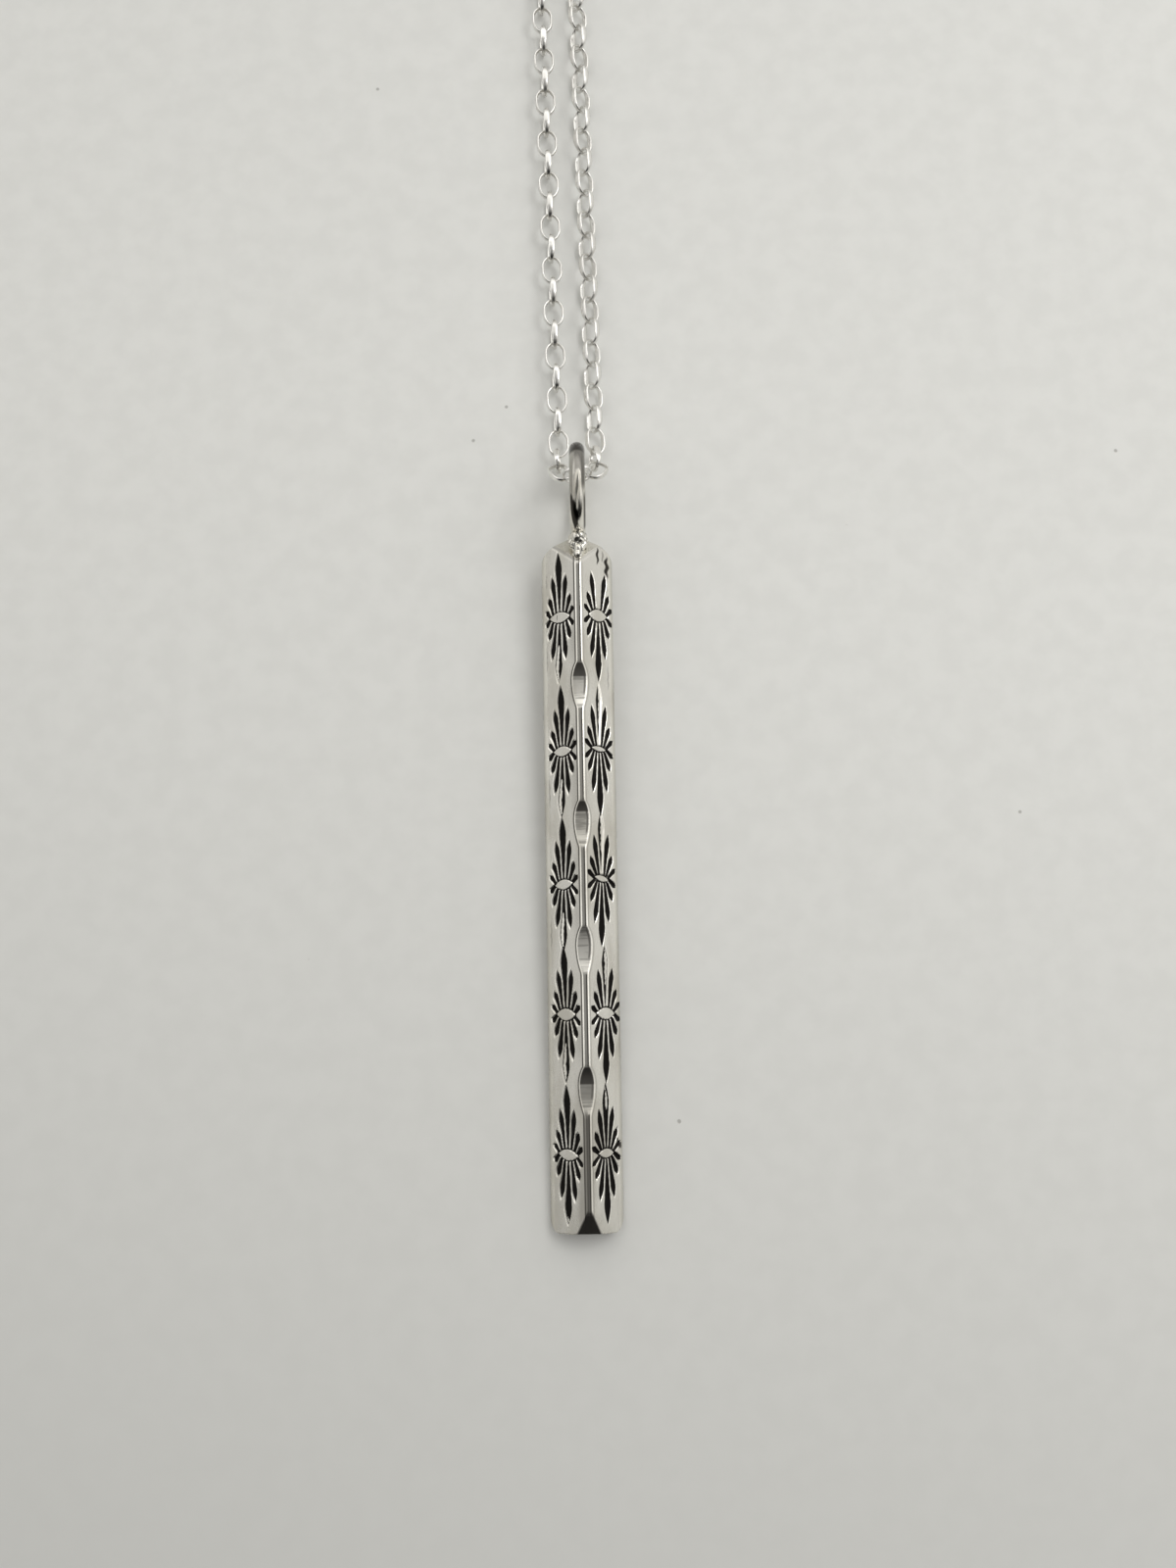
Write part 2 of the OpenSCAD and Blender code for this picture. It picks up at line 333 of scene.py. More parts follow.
@dataclass(frozen=True)
class SilverFinish:
    """Polished sterling silver, with black oxidation, and grey where a piece stores it, which is tarnish in
    places and painted shade in others.

    The value ink is a distance in millimetres into a blackened place, so its edge stays sharp
    between vertices. The value tarnish_and_shade, which holds tarnish and painted shade, and the value
    file are shares from 0 to 1.
    """

    name: str
    bright: Triple = (0.90, 0.88, 0.82)
    worn: Triple = (0.68, 0.655, 0.59)
    black: Triple = (0.014, 0.013, 0.012)
    dull: Triple = (0.05, 0.045, 0.04)
    ink_edge: float = 0.03
    roughness: float = 0.2
    rougher: float = 0.32
    black_roughness: float = 0.5
    filed_roughness: float = 0.42
    filed_dark: float = 0.55
    # Stretch of the polish marks and of the file's grooves, across and along the bar
    marks: Pair = (1.0, 0.35)
    grooves: Pair = (0.03, 0.45)
    tone_limits: Pair = (0.38, 0.68)
    groove_limits: Pair = (0.44, 0.6)
    mark_height: float = 0.000005

    def material(self) -> bpy.types.Material:
        """The material: oxidation, tarnish and painted shade, tone and polish marks joined to one metal
        shader.
        """
        made = bpy.data.materials.new(self.name)
        made.use_nodes = True
        board = Board(made.node_tree)
        marks, grooves = (
            board.add("ShaderNodeGroup", {"Across": across, "Along": along}, node_tree=PolishMarks().group())
            for across, along in (self.marks, self.grooves)
        )
        tone = board.ramp(marks.outputs["Tone"], *self.tone_limits)
        ink = board.ramp(board.attribute("ink"), 0.0, self.ink_edge)
        filed = board.attribute("file")
        groove = board.ramp(grooves.outputs["Height"], *self.groove_limits, 0.0, self.filed_dark)
        groove = board.math("MULTIPLY", filed, groove)
        # The stored grey is tarnish in places and painted shade in others
        tarnish_and_shade = board.math("MAXIMUM", board.attribute("tarnish_and_shade"), groove)
        silver = board.mix(tone, self.bright, self.worn)
        silver = board.mix(tarnish_and_shade, silver, self.dull)
        rough = board.blend(tone, self.roughness, self.rougher)
        rough = board.blend(filed, rough, self.filed_roughness)
        bump = board.add("ShaderNodeBump", {"Distance": self.mark_height, "Height": marks.outputs["Height"]})
        board.feed(made.node_tree.nodes["Principled BSDF"], {
            "Metallic": 1.0,
            "Base Color": board.mix(ink, silver, self.black),
            "Roughness": board.blend(ink, rough, self.black_roughness),
            "Normal": bump.outputs["Normal"],
        })
        return made

    def coat(self, piece: Piece) -> None:
        """Gives a piece this finish."""
        piece.data.materials.append(self.material())


@dataclass(frozen=True)
class Stamp:
    """One blow of the die: a lens with a fan of rays above it and one below it, turned by degrees."""

    x: float
    y: float
    turn_up: float
    turn_down: float
    lens_turn: float
    lens_length: float
    lens_height: float
    upper_spine: float = 1.0
    rubbed_from: float = 0.35


@dataclass(frozen=True)
class Scoop:
    """A hollow filed in the ridge, black down to a share of its length and grey below."""

    y: float
    black: float
    grey: float


@dataclass
class StampedBar:
    """The bar: triangular stock with bevelled ends, stamped faces and scoops filed in its ridge."""

    layout: Layout
    width: float = 6.35
    height: float = 3.25
    slope: float = 42.0
    ridge_flat: float = 0.46
    ridge_round: float = 0.1
    ridge_shift: float = 0.17
    ridge_skew: float = 0.0022
    touch_z: float = 1.078
    edge_radius: float = 1.4
    # Each end's bevel: its lower edge's height, both edges' distances from the end, and its softness
    square_end: tuple[float, ...] = (2.5, 0.45, 2.45, 0.5)
    pointed_end: tuple[float, ...] = (2.0, 1.55, 2.8, 0.12)
    corner_radius: float = 1.35
    arch_half: float = 0.55
    arch_drop: float = 2.55
    shoulder_radius: float = 1.3
    shoulder_turn: float = 50.0
    end_face: float = 0.08
    scoop_length: float = 3.2
    scoop_depth: float = 0.36
    scoop_stretch: float = 0.66
    scoop_round: float = 0.1
    scoops: tuple[Scoop, ...] = (
        Scoop(-17.6, 0.48, 0.5),
        Scoop(-5.75, 0.05, 0.3),
        Scoop(5.06, 0.30, 0.2),
        Scoop(17.16, 0.40, 0.3),
    )
    cut_depth: float = 0.15
    cut_wall: float = 0.07
    cut_reach: float = 6.6
    clear: float = -0.3     # what ink says away from the cuts
    ray_widest: float = 0.7
    rubbed: float = 0.3
    # On the left face and on the right: width of the rays and of their bright walls, and ink past a cut
    ray_width: Pair = (1.03, 0.87)
    bright_wall: Pair = (0.04, 0.012)
    spilt: Pair = (0.0, 0.02)
    # Smears of oxide: x, y, half width, half length and share
    smears: Table = (
        (1.86, 28.5, 0.13, 0.95, 1.0),
        (2.66, 27.6, 0.22, 1.15, 1.0),
        (2.32, 28.5, 0.10, 0.60, 0.45),
        (-1.80, 22.95, 0.05, 0.30, 0.70),
        (2.98, -23.1, 0.20, 0.34, 0.95),
        (2.74, -22.6, 0.12, 0.30, 0.90),
        (-2.72, 26.4, 0.06, 0.8, 0.35),
        (2.62, 17.6, 0.07, 1.3, 0.35),
        (-2.75, 19.4, 0.07, 1.5, 0.35),
        (-2.70, 7.4, 0.07, 1.4, 0.35),
        (-2.72, -5.0, 0.07, 1.6, 0.35),
    )
    lens_line: float = 0.075
    # Rays of one fan: root x and y as shares of half the lens, tip x and y, greatest width and width at
    # the root, in plan
    rays: Table = (
        (0.00, 0.80, 0.00, 5.98, 0.66, 0.13),
        (0.30, 0.72, 0.63, 3.88, 0.50, 0.17),
        (0.57, 0.54, 0.97, 2.00, 0.47, 0.20),
        (0.83, 0.18, 1.24, 0.82, 0.42, 0.24),
    )
    stamps: tuple[Stamp, ...] = (
        Stamp(-1.58, 22.94, -1.4, -2.8, 0, 2.0, 1.08),
        Stamp(-1.51, 11.05, -1.8, -2.6, 3, 1.75, 1.02),
        Stamp(-1.57, -0.57, -1.3, -1.8, 7, 1.72, 1.0),
        Stamp(-1.55, -11.74, -2.4, -1.3, 2, 1.8, 1.17),
        Stamp(-1.53, -23.59, -1.5, -1.4, 0, 1.87, 1.08, 1.0, 0.85),
        Stamp(1.84, 23.09, 1.0, -0.6, 0, 1.74, 1.22, 0.0),
        Stamp(1.71, 11.22, 0.5, 0.8, -7, 1.5, 0.58, 0.6),
        Stamp(1.75, -0.11, 0.0, -1.0, -13, 1.42, 0.66, 0.7),
        Stamp(1.90, -11.72, 0.0, -0.6, -6, 1.7, 1.16, 0.8),
        Stamp(1.75, -23.50, 0.1, 0.4, -6, 1.45, 0.92, 1.0, 0.55),
    )

    @property
    def face_scale(self) -> float:
        """Length on the sloping face for one millimetre across it in plan."""
        return 1.0 / cos(radians(self.slope))

    def section(self) -> tuple[Array, Array]:
        """The section from the left of the back over the ridge to its right.

        The rounded long edges are arcs that meet the faces without a corner, and a soft minimum of the
        faces' height and the ridge's height rounds the ridge's two edges.

        Returns:
            The x and z of its points.
        """
        t = radians(self.slope)
        edge_x = self.width / 2 - self.edge_radius
        rise = self.edge_radius + sin(t) * (edge_x - self.ridge_flat / 2)
        edge_z = self.height - rise / cos(t)
        low = -asin(edge_z / self.edge_radius)
        angles = np.linspace(low, pi / 2 - t, 13)
        arc_x = edge_x + self.edge_radius * np.cos(angles)
        arc_z = edge_z + self.edge_radius * np.sin(angles)
        face_x = np.linspace(arc_x[-1], self.ridge_flat, 56)[1:]
        ridge_x = np.linspace(self.ridge_flat, 0.0, 14)[1:-1]
        x = np.r_[face_x, ridge_x]
        z = self.height - (x - self.ridge_flat / 2) * tan(t)
        z = soft_min(z, self.height, self.ridge_round)
        x, z = np.r_[arc_x, x], np.r_[arc_z, z]
        return np.r_[-x, 0.0, x[::-1]], np.r_[z, self.height, z[::-1]]

    def rows(self, count: int = 585, samples: int = 20001) -> Array:
        """Places of the rows along the bar, close together at the ends and across lenses and scoops."""
        half = self.layout.bar_length / 2
        y = np.linspace(-half, half, samples)
        spacing = np.full_like(y, 0.14)
        # Middle, half length and spacing of each finer stretch
        stretches = [(stamp.y, 0.95, 0.065) for stamp in self.stamps]
        stretches += [(end, 3.0, 0.06) for end in (-half, half)]
        stretches += [(scoop.y, self.scoop_length / 2 + 0.2, 0.09) for scoop in self.scoops]
        for middle, reach, gap in stretches:
            spacing = np.where(np.abs(y - middle) < reach, gap, spacing)
        run = np.concatenate([[0.0], np.cumsum(0.5 / spacing[1:] + 0.5 / spacing[:-1])])
        return np.interp(np.linspace(0.0, run[-1], count), run, y)

    def plan_half(self, y: Array) -> Array:
        """Half width of the bar's plan at y: rounded corners at one end, a blunt arch at the other."""
        half, wide, r = self.layout.bar_length / 2, self.width / 2, self.corner_radius
        square = wide - r + np.sqrt(np.maximum(r * r - np.maximum(r - y - half, 0.0) ** 2, 0.0))
        s, up = self.shoulder_radius, y - half + self.arch_drop
        turn_end = radians(self.shoulder_turn)
        arc = wide - s + np.sqrt(np.maximum(s * s - np.maximum(up, 0.0) ** 2, 0.0))
        x0, y0 = wide - s + s * cos(turn_end), s * sin(turn_end)
        line = x0 + (self.arch_half - x0) * (up - y0) / (self.arch_drop - y0)
        return np.minimum(square, np.where(up < y0, arc, line))

    def profile(self, y: Array) -> Array:
        """Greatest height of the bar at y: a bevel and a steep wall at each end, joined softly."""
        half = self.layout.bar_length / 2

        def end(run: Array, low: float, wall: float, ridge: float, blend: float) -> Array:
            """Height at a distance run from one end."""
            steep = run / wall * low + self.end_face
            bevel = low + (run - wall) * (self.height - low) / (ridge - wall)
            return soft_min(steep, bevel, blend)

        return np.minimum(end(y + half, *self.square_end), end(half - y, *self.pointed_end))

    def scoop_height(self, y: Array) -> Array:
        """Height left by the scoops: round hollows filed across the ridge, drawn out at the lower end."""
        radius = (self.scoop_length ** 2 / 4 + self.scoop_depth ** 2) / (2 * self.scoop_depth)
        height = np.full_like(y, 2 * self.height)
        for scoop in self.scoops:
            run = y - scoop.y
            reach = np.where(run < 0.0, -run * self.scoop_stretch, run)
            hollow = radius - np.sqrt(np.maximum(radius ** 2 - reach ** 2, 0.0))
            bowl = self.height - self.scoop_depth + hollow
            height = np.where(reach < self.scoop_length, np.minimum(height, bowl), height)
        return height

    def ray_cut(
        self, x: Array, y: Array, ray: tuple[float, ...], stamp: Stamp, outward: float, rubbed: float
    ) -> tuple[Array, Array]:
        """Depth and blackness of one ray.

        The half width of the ray grows evenly from its root, and falls from its widest place to a
        pointed tip as one minus a power. The cut drops over a narrow wall and deepens a little towards
        its middle.

        Args:
            x: distance across the face from the fan's middle, on the surface.
            y: distance along the fan.
            ray: one row of the table of rays.
            stamp: the stamp that it belongs to.
            outward: 1 where larger x is further from the ridge, and -1 where it is nearer.
            rubbed: width of the outward part that is rubbed bright towards the tip.

        Returns:
            Depth from 0 to 1, and how far a point lies inside the blackened part, in millimetres.
        """
        root_x, root_y, tip_x, tip_y, widest, narrow = ray
        side, scale = int(stamp.x > 0), self.face_scale
        root = np.array([root_x * scale * stamp.lens_length, root_y * stamp.lens_height]) / 2
        way = np.array([tip_x * scale, tip_y]) - root
        length = float(np.hypot(*way))
        way /= length
        along = ((x - root[0]) * way[0] + (y - root[1]) * way[1]) / length
        across = (x - root[0]) * way[1] - (y - root[1]) * way[0]
        wide = scale * self.ray_width[side]
        half, low = widest / 2 * wide, narrow / 2 * wide
        t = np.clip(along, 0.0, 1.0)
        grow = low + (half - low) * t / self.ray_widest
        fall = half * (1.0 - (np.clip(t - self.ray_widest, 0.0, 1.0) / (1.0 - self.ray_widest)) ** 1.6)
        past = np.maximum(np.maximum(-along, along - 1.0) * length, 0.0)
        reach = np.where(t < self.ray_widest, grow, fall) - np.abs(across) - past
        depth = smooth_step(0.0, self.cut_wall, reach) * (0.8 + 0.2 * smooth_step(0.0, half, reach))
        worn = self.bright_wall[side] * smooth_step(0.1, 0.45, t)
        uneven = 0.05 * np.sin(5.0 * y + 3.0 * stamp.y) + 0.04 * np.sin(13.0 * y)
        inner = smooth_step(0.1, 0.15, reach) * smooth_step(0.0, 0.05, across * outward + uneven)
        worn = worn + rubbed * smooth_step(-0.05, 0.1, t - stamp.rubbed_from) * inner
        return depth, reach + self.spilt[side] - np.where(across * outward > 0.0, worn, 0.0)

    def lens_cut(self, x: Array, y: Array, stamp: Stamp) -> tuple[Array, Array, Array]:
        """Groove round the lens, whose long edges are two parabolas that meet in points.

        Args:
            x: distance along the lens as a share of half its length.
            y: distance across it.
            stamp: the stamp that it belongs to.

        Returns:
            Depth from 0 to 1, how far a point lies inside the blackened groove, and how far it lies
            inside the polished island.
        """
        line = self.lens_line
        bow = stamp.lens_height / 2 * (1.0 - np.minimum(x * x, 1.0))
        edge = np.abs(y) - bow + np.maximum(np.abs(x) - 1.0, 0.0) * stamp.lens_length / 2
        depth = fade(edge, (-line, -0.3 * line), (0.05, 0.0))
        return depth, line / 2 - np.abs(edge + line / 2) + 0.03, -edge - line

    def cuts(self, x: Array, y: Array) -> tuple[Array, Array]:
        """Depth and blackness of all the stamps at plan places x and y.

        Args:
            x: places across the bar.
            y: places along the bar.

        Returns:
            Depth in millimetres square to the face, and how far a point lies inside the black.
        """
        depth, black = np.zeros_like(x), np.full_like(x, self.clear)
        scale = self.face_scale
        for stamp in self.stamps:
            side = -1.0 if stamp.x < 0 else 1.0
            near = (x * side > self.ridge_flat / 2) & (np.abs(y - stamp.y) < self.cut_reach)
            u, v = (x[near] - stamp.x) * scale, y[near] - stamp.y
            cut, ink = np.zeros_like(u), np.full_like(u, self.clear)
            for upper in (True, False):
                fan_x, fan_y = turned_axes(u, v, -stamp.turn_up if upper else 180.0 + stamp.turn_down)
                outward = side if upper else -side
                for number, ray in enumerate(self.rays):
                    for hand in (-1.0, 1.0) if number else (1.0,):
                        share = stamp.upper_spine if upper and not number else 1.0
                        if not share:
                            continue
                        rubbed = self.rubbed if not number and upper == (side > 0.0) else 0.0
                        d, k = self.ray_cut(fan_x * hand, fan_y, ray, stamp, outward * hand, rubbed)
                        cut = np.maximum(cut, d * share)
                        ink = np.maximum(ink, k + self.clear * (1.0 - share))
            lens_x, lens_y = turned_axes(u, v, stamp.lens_turn)
            lens_x = lens_x / (stamp.lens_length * scale / 2)
            groove, line, island = self.lens_cut(lens_x, lens_y, stamp)
            cut = np.maximum(cut * smooth_step(0.02, 0.0, island), groove)
            ink = np.maximum(np.minimum(ink, -island), line)
            depth[near] = np.maximum(depth[near], cut * self.cut_depth)
            black[near] = np.maximum(black[near], ink)
        return depth, black

    def off_ridge(self, x: Array, y: Array) -> Array:
        """Distance across the bar from the middle of its ridge, which runs slightly askew."""
        return x - self.ridge_shift + self.ridge_skew * y

    def build(self) -> Piece:
        """The whole bar as one closed surface.

        A point is the section at its column, with the ridge moved a little to one side, narrowed to
        the plan's half width and cut down to the end profile and the scoops at its row, then sunk
        square to its face by the stamps' depth.

        Returns:
            The bar, with the values ink, file and tarnish_and_shade on its vertices.
        """
        slope = radians(self.slope)
        section_x, section_z = self.section()
        x, y = np.meshgrid(section_x, self.rows())
        z = np.broadcast_to(section_z, x.shape).copy()
        share = np.clip((z - self.touch_z) / (self.height - self.touch_z), 0.0, 1.0)
        x = x - share * self.off_ridge(0.0, y)
        half, top, scooped = self.plan_half(y), self.profile(y), self.scoop_height(y)
        x = np.clip(x, -half, half)
        near_square, near_point = smooth_step(-25.0, -26.0, y), smooth_step(25.0, 27.0, y)
        bevelled = smooth_step(0.02, 0.12, z - top) * near_square
        z = soft_min(z, top, 0.08 + 0.3 * near_point)
        in_scoop = smooth_step(-0.02, 0.04, z - scooped)
        offset = self.off_ridge(x, y)
        face = self.height - (np.abs(offset) - self.ridge_flat / 2) * tan(slope)
        edge = np.sign(offset) * (np.minimum(self.height, scooped) - face)
        z = np.maximum(soft_min(z, scooped, self.scoop_round), 0.0)
        z[:, 0] = z[:, -1] = 0.0
        depth, black = self.cuts(x, y)
        depth = depth * smooth_step(0.0, 0.1, top - z)
        black = np.minimum(black, top - z)
        x = x - depth * np.sign(x) * sin(slope) * smooth_step(0.2, 0.4, np.abs(x))
        z = np.maximum(z - depth * cos(slope), 0.0)

        rows, columns = x.shape
        faces = grid_faces(rows, columns, False, True).tolist()
        faces.append(list(range(columns - 1, -1, -1)))
        faces.append(list(range((rows - 1) * columns, rows * columns)))
        points = self.layout.from_bar(np.stack([x, y, z], -1).reshape(-1, 3))
        piece = make_object("stamped_bar", points, faces)
        set_values(piece, "ink", black)
        set_values(piece, "file", np.maximum(in_scoop, bevelled))
        # The square end's bevel gets painted shade, for the dark side of the room that it reflects
        set_values(piece, "tarnish_and_shade", np.maximum(self.tarnish_and_shade(x, y, in_scoop, edge), 0.88 * bevelled))
        return piece

    def tarnish_and_shade(self, x: Array, y: Array, in_scoop: Array, edge: Array) -> Array:
        """Grey on the bar: oxide in the scoops and in smears and smudges, and painted shade along the long
        edges, in lines along the ridge and at the pointed end's bevel, with a painted reflection on the
        ridge's flat.

        The black in a scoop ends on a line across it, and a darker bar follows it after a gap. A smear is
        a soft oval whose edge wavers along its length. The lines of painted shade lie just outside the
        ridge's edges, and a grey line lies just inside a scoop's right edge.

        Args:
            x: places across the bar.
            y: places along the bar.
            in_scoop: 1 inside a scoop, 0 outside.
            edge: height of the ridge or scoop above the face's own slope, counted negative on the left.

        Returns:
            The share of grey from 0 to 1.
        """
        scoops = np.zeros_like(x)
        for scoop in self.scoops:
            down = 0.5 - (y - scoop.y) / self.scoop_length
            black = 0.9 * smooth_step(scoop.black + 0.02, scoop.black - 0.02, down)
            black += 0.6 * smooth_step(0.03, 0.02, np.abs(down - scoop.black - 0.07))
            rim = 0.75 * (x > 0.3) * fade(edge, (-0.3, -0.24), (-0.08, -0.13)) * smooth_step(1.0, 0.8, down)
            share = np.maximum.reduce([black, scoop.grey * smooth_step(1.0, 0.85, down), rim])
            scoops += in_scoop * np.where(np.abs(down - 0.5) < 1.0, share, 0.0)
        greys = [scoops]
        for at_x, at_y, wide, long, share in self.smears:
            waver = 0.35 * wide * np.sin(7.0 * y + 20.0 * at_x)
            far = np.hypot((x - at_x - waver) / wide, (y - at_y) / long)
            greys.append(share * smooth_step(1.0, 0.6, far))
        offset, plain = self.off_ridge(x, y), 1.0 - in_scoop
        square_end = smooth_step(-19.0, -20.5, y)
        smudge = 0.5 + 0.5 * np.sin(0.9 * y + 2.0 * np.sin(0.37 * y))
        chevron = np.abs(self.profile(y) - self.height + 0.9 * np.abs(offset) - 0.19)
        chevron = smooth_step(0.3, 0.1, chevron) * smooth_step(26.5, 27.5, y)
        greys += [
            # Painted shade along the bar's rounded long edges, and smudges to the left of the ridge
            0.22 * smooth_step(2.85, 3.1, np.abs(x)),
            0.2 * smudge * fade(x, (-1.0, -0.45), (-0.05, -0.3)),
            # Painted shade in thin lines just outside the ridge's right edge and, darker, its left edge
            0.3 * plain * fade(edge, (0.05, 0.09), (0.19, 0.14)),
            0.9 * plain * fade(edge, (-0.05, -0.09), (-0.2, -0.15)),
            # On the ridge's flat, painted grey for the reflection of the dark space overhead, and darker near
            # the square end, most of all on its left half
            (0.34 + 0.26 * square_end) * plain * smooth_step(0.19, 0.15, np.abs(offset)),
            0.7 * square_end * fade(offset, (-0.36, -0.3), (0.0, -0.05)),
            # Painted shade where the faces meet the bevel of the pointed end, darker on the left
            np.where(x < self.ridge_shift, 0.45, 0.25) * chevron,
        ]
        return np.clip(np.maximum.reduce(greys), 0.0, 1.0)

    def dress(self) -> Piece:
        """Builds the bar and gives it its finish."""
        piece = self.build()
        SilverFinish("oxidised_silver").coat(piece)
        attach(piece, "root")
        return piece


@dataclass(frozen=True)
class StainAndShade:
    """Tarnish and painted shade on the ring: a share, and ramps by degrees across its wire and around the
    ring.
    """

    share: float
    across: tuple[Pair, ...]
    around: tuple[Pair, ...]


@dataclass
class BailRing:
    """The ring of round wire on edge, and the lump of solder that holds it to the bar."""

    layout: Layout
    wire: float = 1.38
    turns: int = 220
    sides: int = 96
    # Fused lumps of solder: x, y and z from the middle of the bar's back, then the radius
    lumps: Table = (
        (0.15, 30.00, 1.70, 0.95),
        (0.18, 30.10, 2.60, 0.70),
        (0.50, 29.60, 2.35, 0.60),
        (-0.15, 29.45, 2.40, 0.62),
        (0.20, 28.95, 2.45, 0.60),
        (0.10, 28.35, 2.70, 0.45),
    )
    heart: Triple = (0.15, 29.5, 2.2)
    creases: int = 26
    crease_depth: float = 0.09
    power: int = 10         # the higher, the sharper the valleys between the lumps
    shrink: float = 0.97
    # Grey on the ring: the black far end is tarnish; the left flank, the right rim, the fork's inside and the
    # line by the solder are painted shade
    stains_and_shade: tuple[StainAndShade, ...] = (
        StainAndShade(1.0, (), ((66.0, 52.0),)),
        StainAndShade(0.5, ((-20.0, -44.0),), ((130.0, 110.0),)),
        StainAndShade(0.8, ((20.0, 34.0), (80.0, 64.0)), ((116.0, 98.0),)),
        StainAndShade(0.55, ((-40.0, -30.0), (28.0, 16.0)), ((84.0, 92.0), (120.0, 110.0))),
        StainAndShade(0.9, ((44.0, 52.0),), ((104.0, 120.0), (170.0, 160.0))),
    )
    # The fork of painted highlights starts this many degrees around the ring
    highlight_fork: float = 86.0      # degrees around the ring where the fork starts

    def stain_and_painted_light(self, around: Array, across: Array) -> tuple[Array, Array]:
        """Tarnish, painted shade and painted highlights on the ring, by the angles around it and around its
        wire.

        The greys are the black far end, which is tarnish, and the left flank, the right rim, the fork's
        inside and a line by the solder, which are painted shade. The body is painted grey to dim its
        reflection, a fork of two thin lines is a painted highlight that lifts the grey, and a pointed black
        patch near the solder is a painted reflection of the dark space overhead.

        Args:
            around: degrees around the ring, from its far end over its top.
            across: degrees around the wire, from its outer line to the right.

        Returns:
            The shares of grey, tarnish and painted shade, and of the painted highlight, from 0 to 1.
        """
        greys = [s.share * fade(across, *s.across) * fade(around, *s.around) for s in self.stains_and_shade]
        # Painted shade: the body is grey, to dim its reflection
        body = 0.45 + 0.3 * smooth_step(-26.0, -10.0, across)
        down = around - self.highlight_fork
        left = -2.0 - 0.9 * down
        right = 24.0 * np.exp(-((down - 12.0) / 15.0) ** 2) - 3.0
        # Painted highlight: a fork of two thin bright lines that lifts the grey
        highlight_prongs = [
            smooth_step(9.0, 5.5, np.abs(across - middle)) * smooth_step(end, full, down)
            for middle, full, end in ((left, 29.0, 36.0), (right, 42.0, 48.0))
        ]
        worn = np.maximum(*highlight_prongs) * smooth_step(-4.0, 2.0, down)
        # Painted reflection of the dark space overhead: a pointed black patch near the solder
        run = np.clip((around - 112.0) / 48.0, 0.0, 1.0)
        wide = 32.0 * np.sin(pi * run ** 0.9) ** 0.8
        dark_reflection_patch = smooth_step(-1.0, 3.0, wide - np.abs(across + 20.0 + 40.0 * (1.0 - run) ** 2.5))
        greys += [body * smooth_step(112.0, 80.0, around), dark_reflection_patch * (run > 0.0)]
        return np.clip(np.maximum.reduce(greys) * (1.0 - worn), 0.0, 1.0), worn

    def ring(self) -> Piece:
        """The ring, which stands on the surface with its circle in the bar's own upright plane."""
        lay, outer = self.layout, self.layout.ring_diameter / 2
        middle = np.array([lay.ring_x, lay.bar_y + lay.bar_length / 2 + lay.ring_gap, outer]) + lay.shift
        half = self.wire / 2
        points, faces, around, across = wire_ring(outer - half, half, self.turns, self.sides)
        piece = make_object("bail_ring", np.roll(points, 1, axis=1) + middle, faces)
        # The grey holds tarnish and painted shade, and the painted highlight goes under file, which roughens
        # the wire
        for name, values in zip(("tarnish_and_shade", "file"), self.stain_and_painted_light(around, across)):
            set_values(piece, name, values)
        return piece

    def solder(self, rows: int = 150, columns: int = 220) -> Piece:
        """The solder, as a surface around its heart.

        Its distance from the heart is a smooth greatest of where each way leaves the lumps, less the
        depth of creases, which run where two of a set of evenly spread points are equally near.
        """
        v = np.linspace(0.0, pi, rows + 2)[1:-1]
        u = np.linspace(0.0, 2 * pi, columns, endpoint=False)
        v, u = np.meshgrid(v, u, indexing="ij")
        way = np.stack([np.sin(v) * np.cos(u), np.sin(v) * np.sin(u), np.cos(v)], -1).reshape(-1, 3)
        way = np.vstack([way, [[0.0, 0.0, 1.0], [0.0, 0.0, -1.0]]])
        total = np.zeros(len(way))
        for x, y, z, radius in self.lumps:
            lump = np.array([x, y, z]) - self.heart
            along = way @ lump
            inside = along ** 2 - lump @ lump + radius ** 2
            reach = np.where(inside > 0.0, along + np.sqrt(np.maximum(inside, 0.0)), 0.0)
            total += np.maximum(reach, 0.05) ** self.power
        reach = total ** (1 / self.power) * self.shrink
        k = np.arange(self.creases)
        height = 1.0 - 2.0 * (k + 0.5) / self.creases
        turned = k * GOLDEN_TURN + 0.5 * np.sin(5.0 * k)
        flat = np.sqrt(1.0 - height ** 2)
        seeds = np.stack([flat * np.cos(turned), flat * np.sin(turned), height], -1)
        nearest = np.sort(way @ seeds.T, axis=1)
        gap = nearest[:, -1] - nearest[:, -2]
        points = way * (reach - self.crease_depth * smooth_step(0.16, 0.0, gap))[:, None] + self.heart
        last, top = (rows - 1) * columns, rows * columns
        faces = grid_faces(rows, columns, False, True)[:, ::-1].tolist()
        for here in range(columns):
            after = (here + 1) % columns
            faces += [[top, here, after], [top + 1, last + after, last + here]]
        piece = make_object("solder_joint", self.layout.from_bar(points), faces)
        set_values(piece, "ink", 0.03 - gap * 0.8)
        set_values(piece, "tarnish_and_shade", 0.9 * smooth_step(30.25, 30.5, points[:, 1]))
        return piece

    def dress(self) -> list[Piece]:
        """Builds the ring and its solder, in smoother silver than the bar's."""
        ring, solder = self.ring(), self.solder()
        wire = SilverFinish("ring_silver", roughness=0.12, rougher=0.2, filed_roughness=0.8, filed_dark=0.0)
        wire.coat(ring)
        SilverFinish("solder_silver", roughness=0.12, rougher=0.3).coat(solder)
        for piece in (ring, solder):
            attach(piece, "root")
        return [ring, solder]


